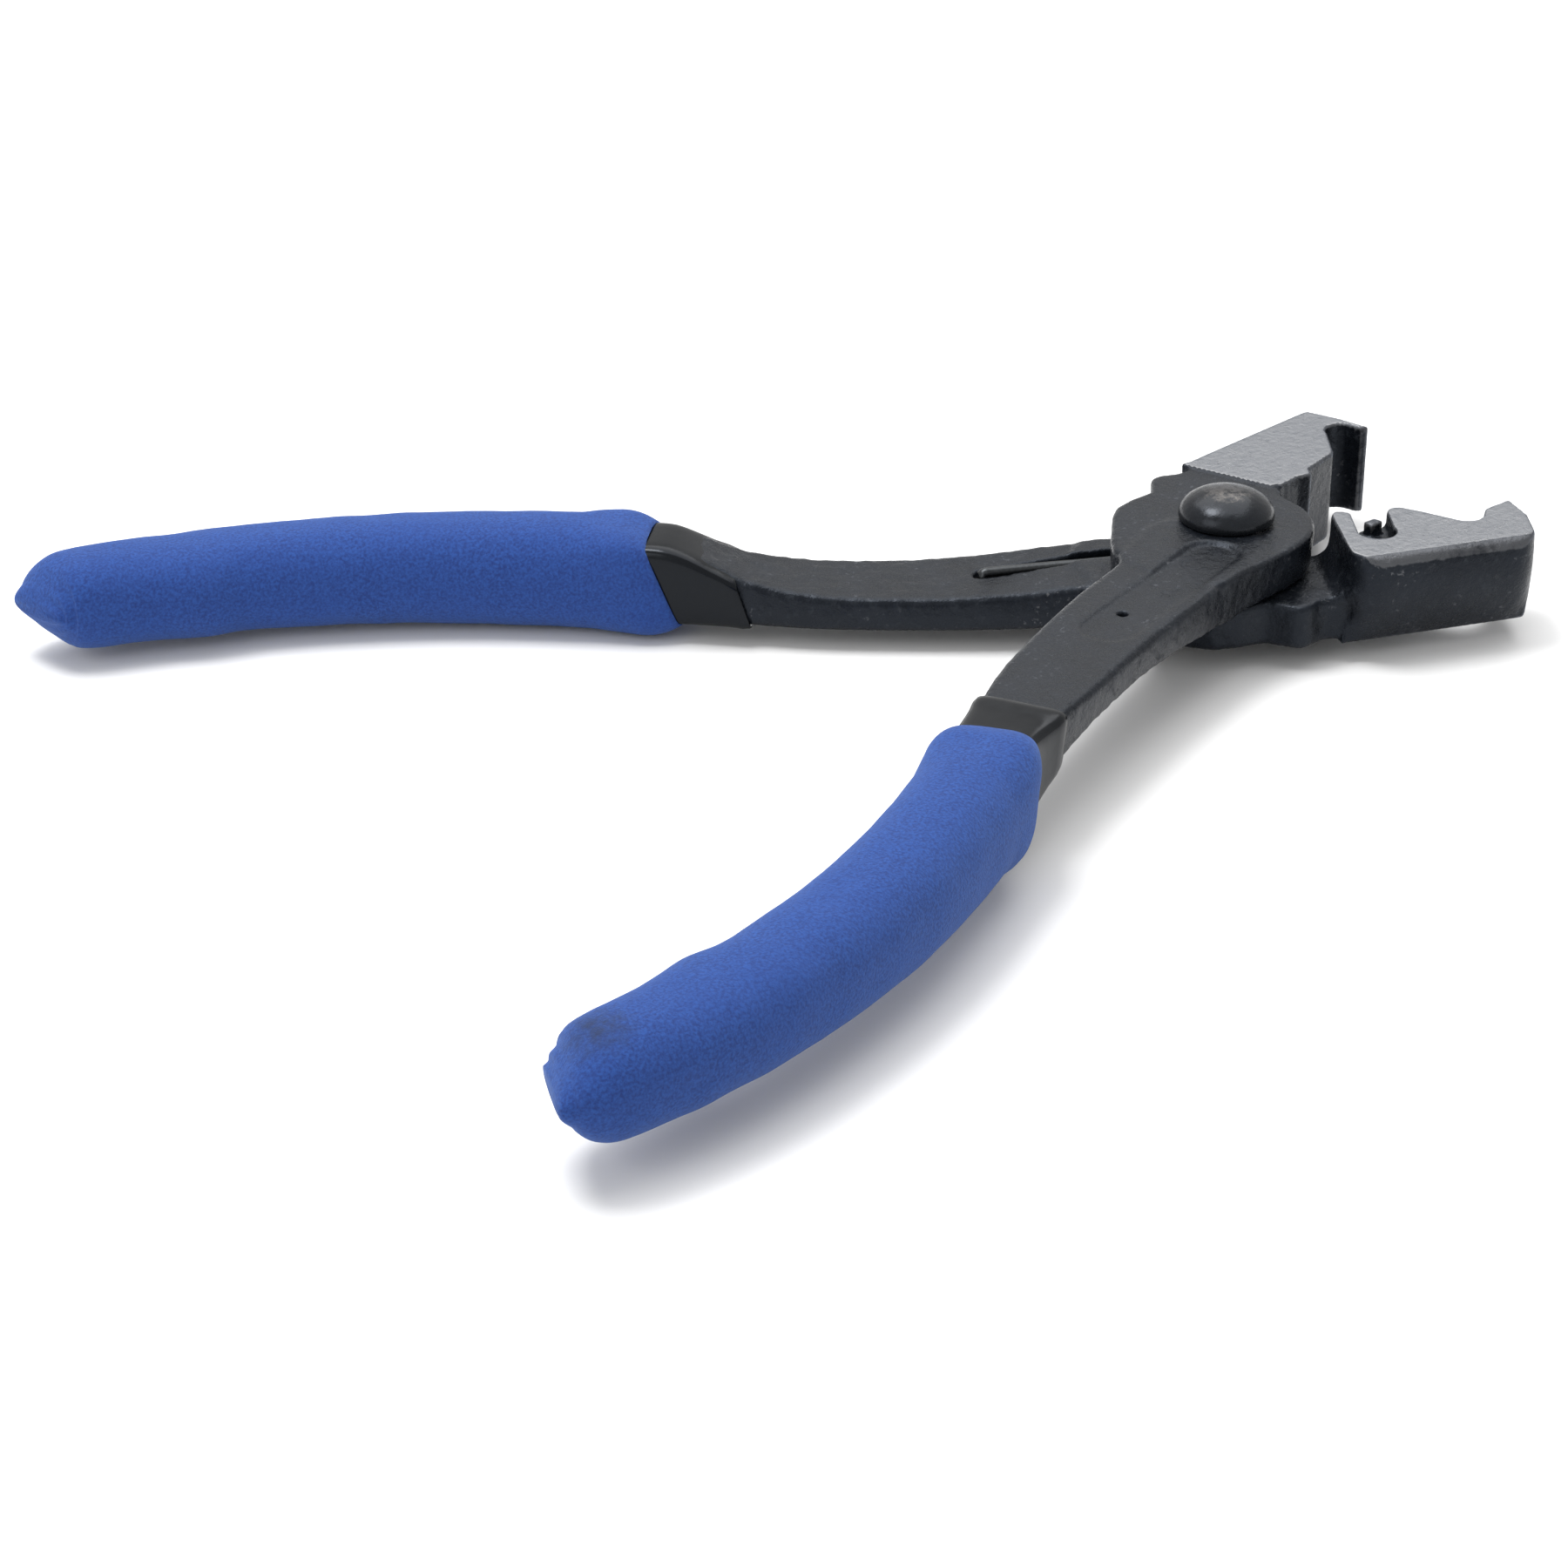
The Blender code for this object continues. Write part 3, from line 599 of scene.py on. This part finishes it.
def rivet(finish):
    """Dome head with an upright rim, shank, and a low peened tail."""
    base = PLATE_TOP + GAP
    rise = np.radians(np.linspace(88, 6, 26))
    dome = [(HEAD_RADIUS * math.cos(a), base + HEAD_RIM + (HEAD_HEIGHT - HEAD_RIM) * math.sin(a))
            for a in rise]
    rim = [(HEAD_RADIUS, base + HEAD_RIM), (HEAD_RADIUS - 0.05, base + 0.3),
           (HEAD_RADIUS - 0.5, base + 0.02)]
    shank = [(RIVET_RADIUS + 0.4, base), (RIVET_RADIUS, base - 0.3), (RIVET_RADIUS, -base + 0.3),
             (RIVET_RADIUS + 0.3, -base)]
    fall = np.radians(np.linspace(0, 86, 14))
    tail = [(TAIL_RADIUS * math.cos(a) ** 0.8, -base - TAIL_RIM - (TAIL_HEIGHT - TAIL_RIM) * math.sin(a))
            for a in fall]
    points, faces = turned(dome + rim + shank + [(TAIL_RADIUS, -base)] + tail)
    mesh_piece("rivet_head_and_shank", points, faces, finish, "lower", "pivot_rivet")


def wire(path, count=20):
    """Points and faces of round wire: a circle carried along a path, in the plane across it at each point."""
    along = np.gradient(path, axis=0)
    along /= np.linalg.norm(along, axis=1)[:, None]
    across = np.cross(along, (0, 0, 1.0))
    upright = np.linalg.norm(across, axis=1) < 0.2
    across[upright] = np.cross([*leg_direction()[1], 0.0], (0, 0, 1.0))
    across /= np.linalg.norm(across, axis=1)[:, None]
    up = np.cross(across, along)
    turn = np.linspace(0, 2 * np.pi, count, endpoint=False)[:, None]
    circle = across[:, None] * np.cos(turn) + up[:, None] * np.sin(turn)
    return closed_grid(path[:, None] + WIRE_RADIUS * circle)


def spring(finish):
    """Torsion spring: about 1.4 turns of wire round the rivet, rising evenly, with a leg in each half's
    groove that bends into the arm at its end."""
    tangent, along = leg_direction()
    start = math.atan2(-tangent[1], tangent[0])
    sweep = -2 * start - 2 * math.pi
    share = np.linspace(0, 1, COIL_STEPS + 1)
    turn = start + sweep * share
    coil = np.stack([COIL_RADIUS * np.cos(turn), COIL_RADIUS * np.sin(turn), COIL_RISE * (2 * share - 1)], 1)
    foot = np.array([*LEG_END, COIL_RISE])
    # The leg's end: how far back along the leg from the foot, and how far up
    bend = np.array([(1.2, 0.0), (0.75, 0.07), (0.3, 0.35), (0.0, 0.9), (0.0, 3.0)])
    upper = foot - bend[:, :1] * (*along, 0.0) + bend[:, 1:] * (0, 0, 1)
    lower = upper[::-1] * (1, -1, -1)
    points, faces = wire(np.concatenate([lower, coil[:COIL_SPLIT + 1]]))
    mesh_piece("spring_lower_leg_and_coil", points, faces, finish, "lower", "return_spring")
    points, faces = wire(np.concatenate([coil[COIL_SPLIT + 1:], upper]))
    mesh_piece("spring_upper_leg", points, faces, finish, "upper")


# ---------------------------------------------------------------- materials

def colour(code):
    """sRGB hex to linear: c / 12.92 below 0.04045, ((c + 0.055) / 1.055)^2.4 above."""
    parts = [int(code[i:i + 2], 16) / 255 for i in (1, 3, 5)]
    return tuple(c / 12.92 if c <= 0.04045 else ((c + 0.055) / 1.055) ** 2.4 for c in parts) + (1.0,)


def add(tree, kind, inputs, out=0, stops=(), **settings):
    """A node and its output `out`.  Settings are its own properties; inputs are sockets to link or
    constants, by the input's name or number; stops are a colour ramp's (place, grey) pairs."""
    node = tree.nodes.new("ShaderNode" + kind)
    for key, value in settings.items():
        setattr(node, key, value)
    for key, value in inputs.items():
        if isinstance(value, bpy.types.NodeSocket):
            tree.links.new(value, node.inputs[key])
        else:
            node.inputs[key].default_value = value
    for n, (at, grey) in enumerate(stops):
        node.color_ramp.elements[n].position = at
        node.color_ramp.elements[n].color = (grey, grey, grey, 1.0)
    return node.outputs[out]


def new_finish(name, constants):
    """A material with a Principled shader and constants set on the shader's own sockets."""
    made = bpy.data.materials.new(name)
    made.use_nodes = True
    shader = made.node_tree.nodes["Principled BSDF"]
    for key, value in constants.items():
        shader.inputs[key].default_value = value
    return made, made.node_tree, shader


def drive(tree, shader, **sockets):
    """Link values to the shader's sockets; an underscore in a name stands for a space."""
    for name, socket in sockets.items():
        tree.links.new(socket, shader.inputs[name.replace("_", " ")])


def forged_steel():
    """Drop-forged tool steel, black-oxided and oiled.  The oxide is a satin near-black with pits and scale
    marks; raised edges are rubbed to dull steel; the jaw faces are ground bare and show the wheel's lines."""
    made, tree, shader = new_finish("black_oxide_forged_steel", {
        "Specular IOR Level": 0.25, "Specular Tint": colour("#dbe6f8")})
    where = add(tree, "TexCoord", {}, "Object")
    edge = add(tree, "Attribute", {}, "Fac", attribute_name="edge")
    ground = add(tree, "Attribute", {}, "Fac", attribute_name="ground")
    scale = add(tree, "TexNoise", {"Vector": where, "Scale": 1 / (1.2 * MM), "Detail": 6, "Roughness": 0.6})
    grit = add(tree, "TexNoise", {"Vector": where, "Scale": 1 / (0.35 * MM), "Detail": 3, "Roughness": 0.6})
    patch = add(tree, "TexNoise", {"Vector": where, "Scale": 1 / (9.0 * MM), "Detail": 4, "Roughness": 0.6})
    pitting = add(tree, "TexNoise", {"Vector": where, "Scale": 1 / (2.4 * MM), "Detail": 8, "Roughness": 0.6})
    chip = add(tree, "TexNoise", {"Vector": where, "Scale": 1 / (0.8 * MM), "Detail": 5, "Roughness": 0.6})

    patchy = add(tree, "ValToRGB", {0: patch}, stops=((0.35, 0.0), (0.65, 1.0)))
    black = add(tree, "Mix", {0: patchy, 6: colour("#0c0e12"), 7: colour("#14171c")}, 2, data_type="RGBA")
    scaled = add(tree, "ValToRGB", {0: scale}, stops=((0.56, 0.0), (0.72, 0.6)))
    black = add(tree, "Mix", {0: scaled, 6: black, 7: colour("#24272b")}, 2, data_type="RGBA")

    # Rubbed steel on raised edges, and small chips in the oxide in some patches
    raised = add(tree, "ValToRGB", {0: edge}, stops=((0.0, 0.0), (1.0, 1.0)))
    uneven = add(tree, "Math", {0: scale, 1: patch}, operation="ADD")
    rub_and_highlight = add(tree, "Math", {0: raised, 1: uneven}, operation="MULTIPLY")
    rub_and_highlight = add(tree, "ValToRGB", {0: rub_and_highlight}, stops=((0.6, 0.0), (1.0, 0.75)))
    chips = add(tree, "ValToRGB", {0: chip}, stops=((0.60, 0.0), (0.68, 0.8)))
    chipped = add(tree, "ValToRGB", {0: patch}, stops=((0.5, 0.0), (0.62, 1.0)))
    chips = add(tree, "Math", {0: chips, 1: chipped}, operation="MULTIPLY")
    wear_and_highlight = add(tree, "Math", {0: rub_and_highlight, 1: chips}, operation="MAXIMUM")
    black = add(tree, "Mix", {0: wear_and_highlight, 6: black, 7: colour("#5c5d60")}, 2, data_type="RGBA")

    # Ground faces: lines nine times as long as they are wide, along the wheel's path
    wheel_path = {"Vector": where, "Rotation": (0, 0, math.radians(62)), "Scale": (1, 9, 1)}
    path = add(tree, "Mapping", wheel_path)
    lines = add(tree, "TexNoise", {"Vector": path, "Scale": 1 / (1.6 * MM), "Detail": 5, "Roughness": 0.6})
    bare = add(tree, "Mix", {0: lines, 6: colour("#707173"), 7: colour("#9c9c9d")}, 2, data_type="RGBA")
    stained = add(tree, "ValToRGB", {0: scale}, stops=((0.58, 0.0), (0.74, 0.45)))
    bare = add(tree, "Mix", {0: stained, 6: bare, 7: colour("#5b5c5e")}, 2, data_type="RGBA")
    ragged = add(tree, "Math", {0: scale, 1: 0.5}, operation="SUBTRACT")
    ragged = add(tree, "Math", {0: ragged, 1: 0.8}, operation="MULTIPLY")
    ragged = add(tree, "Math", {0: ground, 1: ragged}, operation="ADD")
    bare_here = add(tree, "ValToRGB", {0: ragged}, stops=((0.45, 0.0), (0.62, 1.0)))

    metal = add(tree, "Math", {0: wear_and_highlight, 1: 0.8}, operation="MULTIPLY")
    rough = add(tree, "Math", {0: uneven, 1: 0.5}, operation="MULTIPLY")
    rough = add(tree, "ValToRGB", {0: rough}, stops=((0.35, 0.2), (0.65, 0.38)))
    bare_rough = add(tree, "ValToRGB", {0: lines}, stops=((0.3, 0.42), (0.7, 0.56)))
    pits = add(tree, "ValToRGB", {0: pitting}, stops=((0.60, 0.0), (0.68, 1.0)))
    normal = add(tree, "Bump", {"Height": pits, "Strength": 0.6, "Distance": -0.2 * MM})
    normal = add(tree, "Bump", {"Height": scale, "Strength": 0.6, "Distance": 0.3 * MM, "Normal": normal})
    normal = add(tree, "Bump", {"Height": grit, "Strength": 0.5, "Distance": 0.035 * MM, "Normal": normal})
    drive(tree, shader,
          Base_Color=add(tree, "Mix", {0: bare_here, 6: black, 7: bare}, 2, data_type="RGBA"),
          Metallic=add(tree, "Math", {0: metal, 1: bare_here}, operation="MAXIMUM"),
          Roughness=add(tree, "Mix", {0: bare_here, 6: rough, 7: bare_rough}, 2, data_type="RGBA"),
          Normal=normal)
    return made


def rivet_steel():
    """Upset steel rivet, black-oxided: a glossy near-black, with a painted highlight on its crown, a mottled
    pale dull-steel spot that stands in for the light from above."""
    made, tree, shader = new_finish("black_oxide_rivet_steel", {
        "Specular IOR Level": 0.3, "Specular Tint": colour("#e3eaf6")})
    where = add(tree, "TexCoord", {}, "Object")
    fine = add(tree, "TexNoise", {"Vector": where, "Scale": 1 / (0.9 * MM), "Detail": 6, "Roughness": 0.6})
    height = add(tree, "SeparateXYZ", {0: where}, "Z")
    # Painted highlight: the top of the dome, masked by height and mottled by noise, is painted pale and
    # metallic in place of the light from above
    top = PIVOT[2] + (PLATE_TOP + GAP + HEAD_HEIGHT) * MM
    crown = add(tree, "MapRange", {"Value": height, "From Min": top - 1.6 * MM, "From Max": top - 0.2 * MM})
    rub_and_highlight = add(tree, "Math", {0: crown, 1: fine}, operation="MULTIPLY")
    wear_and_highlight = add(tree, "ValToRGB", {0: rub_and_highlight}, stops=((0.38, 0.0), (0.62, 0.8)))
    black = add(tree, "Mix", {0: fine, 6: colour("#0b0c0e"), 7: colour("#191b1e")}, 2, data_type="RGBA")
    drive(tree, shader,
          Base_Color=add(tree, "Mix", {0: wear_and_highlight, 6: black, 7: colour("#6c6864")}, 2, data_type="RGBA"),
          Metallic=wear_and_highlight,
          Roughness=add(tree, "ValToRGB", {0: fine}, stops=((0.3, 0.16), (0.7, 0.3))),
          Normal=add(tree, "Bump", {"Height": fine, "Strength": 0.5, "Distance": 0.1 * MM}))
    return made


def spring_steel():
    """Oil-tempered spring wire: dark grey, smooth and slightly uneven in shade."""
    made, tree, shader = new_finish("oil_tempered_spring_wire", {"Metallic": 0.9})
    where = add(tree, "TexCoord", {}, "Object")
    fine = add(tree, "TexNoise", {"Vector": where, "Scale": 1 / (0.5 * MM), "Detail": 4, "Roughness": 0.6})
    drive(tree, shader,
          Base_Color=add(tree, "Mix", {0: fine, 6: colour("#232527"), 7: colour("#4a4c4e")}, 2,
                         data_type="RGBA"),
          Roughness=add(tree, "ValToRGB", {0: fine}, stops=((0.3, 0.28), (0.7, 0.42))))
    return made


def vinyl():
    """Black dipped vinyl: smooth and glossy, with a slow orange-peel."""
    made, tree, shader = new_finish("dipped_black_vinyl", {
        "IOR": 1.53, "Specular IOR Level": 0.2, "Specular Tint": colour("#e3eaf6")})
    where = add(tree, "TexCoord", {}, "Object")
    fine = add(tree, "TexNoise", {"Vector": where, "Scale": 1 / (0.7 * MM), "Detail": 5, "Roughness": 0.6})
    slow = add(tree, "TexNoise", {"Vector": where, "Scale": 1 / (5.0 * MM), "Detail": 3, "Roughness": 0.6})
    normal = add(tree, "Bump", {"Height": fine, "Strength": 0.3, "Distance": 0.01 * MM})
    drive(tree, shader,
          Base_Color=add(tree, "Mix", {0: fine, 6: colour("#07080a"), 7: colour("#0e1012")}, 2,
                         data_type="RGBA"),
          Roughness=add(tree, "ValToRGB", {0: slow}, stops=((0.35, 0.14), (0.65, 0.24))),
          Normal=add(tree, "Bump", {"Height": slow, "Strength": 0.3, "Distance": 0.12 * MM,
                                    "Normal": normal}))
    return made


def foam():
    """Dipped blue foam: matt, with open pores about 0.3 mm across that read as a fine speckle, slightly
    paler where the skin is rubbed, and a smudge of shop dirt on the end of one grip."""
    made, tree, shader = new_finish("dipped_blue_foam", {
        "Roughness": 0.88, "Specular IOR Level": 0.3, "Sheen Weight": 0.25, "Sheen Roughness": 0.6,
        "Sheen Tint": colour("#8fb0e8")})
    where = add(tree, "TexCoord", {}, "Object")
    pores = add(tree, "TexNoise", {"Vector": where, "Scale": 1 / (0.4 * MM), "Detail": 3, "Roughness": 0.6})
    cell = add(tree, "TexNoise", {"Vector": where, "Scale": 1 / (1.3 * MM), "Detail": 4, "Roughness": 0.6})
    slow = add(tree, "TexNoise", {"Vector": where, "Scale": 1 / (14.0 * MM), "Detail": 3, "Roughness": 0.6})
    speckle = add(tree, "ValToRGB", {0: pores}, stops=((0.35, 0.0), (0.65, 1.0)))
    blue = add(tree, "Mix", {0: speckle, 6: colour("#122a66"), 7: colour("#204489")}, 2, data_type="RGBA")
    rub_and_highlight = add(tree, "ValToRGB", {0: slow}, stops=((0.35, 0.0), (0.7, 0.35)))
    blue = add(tree, "Mix", {0: rub_and_highlight, 6: blue, 7: colour("#1b3b7e")}, 2, data_type="RGBA")

    smudge = PIVOT + np.array((-146.5, -77.5, 7.5)) * MM
    offset = add(tree, "Mapping", {"Vector": where, "Location": tuple(-smudge)})
    distance = add(tree, "VectorMath", {0: offset}, "Value", operation="LENGTH")
    near = add(tree, "MapRange", {"Value": distance, "From Min": 7.0 * MM, "From Max": 1.0 * MM})
    dirt = add(tree, "Math", {0: near, 1: cell}, operation="MULTIPLY")
    dirt = add(tree, "ValToRGB", {0: dirt}, stops=((0.15, 0.0), (0.6, 0.75)))
    normal = add(tree, "Bump", {"Height": cell, "Strength": 0.4, "Distance": 0.12 * MM})
    drive(tree, shader,
          Base_Color=add(tree, "Mix", {0: dirt, 6: blue, 7: colour("#1a2136")}, 2, data_type="RGBA"),
          Normal=add(tree, "Bump", {"Height": pores, "Strength": 0.55, "Distance": 0.16 * MM,
                                    "Normal": normal}))
    return made


# ---------------------------------------------------------------- stage

def floor():
    """Plain pale floor, a hair below the pliers: matt painted board."""
    made, _, _ = new_finish("pale_floor", {"Base Color": colour("#e2e2e2"), "Roughness": 0.9,
                                           "Specular IOR Level": 0.1})
    mesh = bpy.data.meshes.new("floor")
    reach = 6.0
    height = cad_box[0].z - 0.0002
    mesh.from_pydata([(-reach, -reach, height), (reach, -reach, height), (reach, reach, height),
                      (-reach, reach, height)], [], [(0, 1, 2, 3)])
    mesh.materials.append(made)
    ground = bpy.data.objects.new("floor", mesh)
    bpy.context.scene.collection.objects.link(ground)


def lamp(name, offset, size, power):
    """A square soft lamp at an offset from the pivot in metres, facing the pivot."""
    light = bpy.data.lights.new(name, "AREA")
    light.shape = "SQUARE"
    light.size = size
    light.energy = power
    made = bpy.data.objects.new(name, light)
    made.location = Vector(PIVOT) + Vector(offset)
    made.rotation_euler = (-Vector(offset)).to_track_quat("-Z", "Y").to_euler()
    bpy.context.scene.collection.objects.link(made)


def lights():
    """White tent with a large lamp overhead, a small one above the handles and a weak one from the left."""
    world = bpy.data.worlds.new("tent")
    world.use_nodes = True
    background = world.node_tree.nodes["Background"]
    background.inputs["Color"].default_value = colour("#ffffff")
    background.inputs["Strength"].default_value = 0.75
    bpy.context.scene.world = world
    lamp("overhead", (0.15, 0.35, 1.1), 1.4, 14.0)
    lamp("key", (-0.25, 0.2, 0.8), 0.3, 4.0)
    lamp("left_fill", (-0.9, -0.2, 0.5), 0.6, 2.0)
    bpy.context.scene.view_settings.view_transform = "Standard"


def camera():
    """Camera low in front and to the left, looking across both handles."""
    lens = bpy.data.cameras.new("camera")
    lens.lens = 90.0
    lens.sensor_width = 36.0
    lens.clip_start = 0.01
    made = bpy.data.objects.new("camera", lens)
    made.location = Vector(PIVOT) + Vector((-0.32388, -0.40917, 0.2378))
    made.rotation_euler = (math.radians(62.10), 0.0, math.radians(-31.34))
    bpy.context.scene.collection.objects.link(made)
    bpy.context.scene.camera = made


# ---------------------------------------------------------------- assembly

def main():
    """Everything in turn: stage, forgings, handles' coverings, rivet and spring."""
    camera()
    lights()
    floor()
    steel, black_vinyl, blue_foam = forged_steel(), vinyl(), foam()
    for side in ("upper", "lower"):
        forged_half(side, steel)
    for side in ("upper", "lower"):
        tang(side, steel)
        sleeve(side, black_vinyl)
        grip(side, blue_foam)
    rivet(rivet_steel())
    spring(spring_steel())


main()
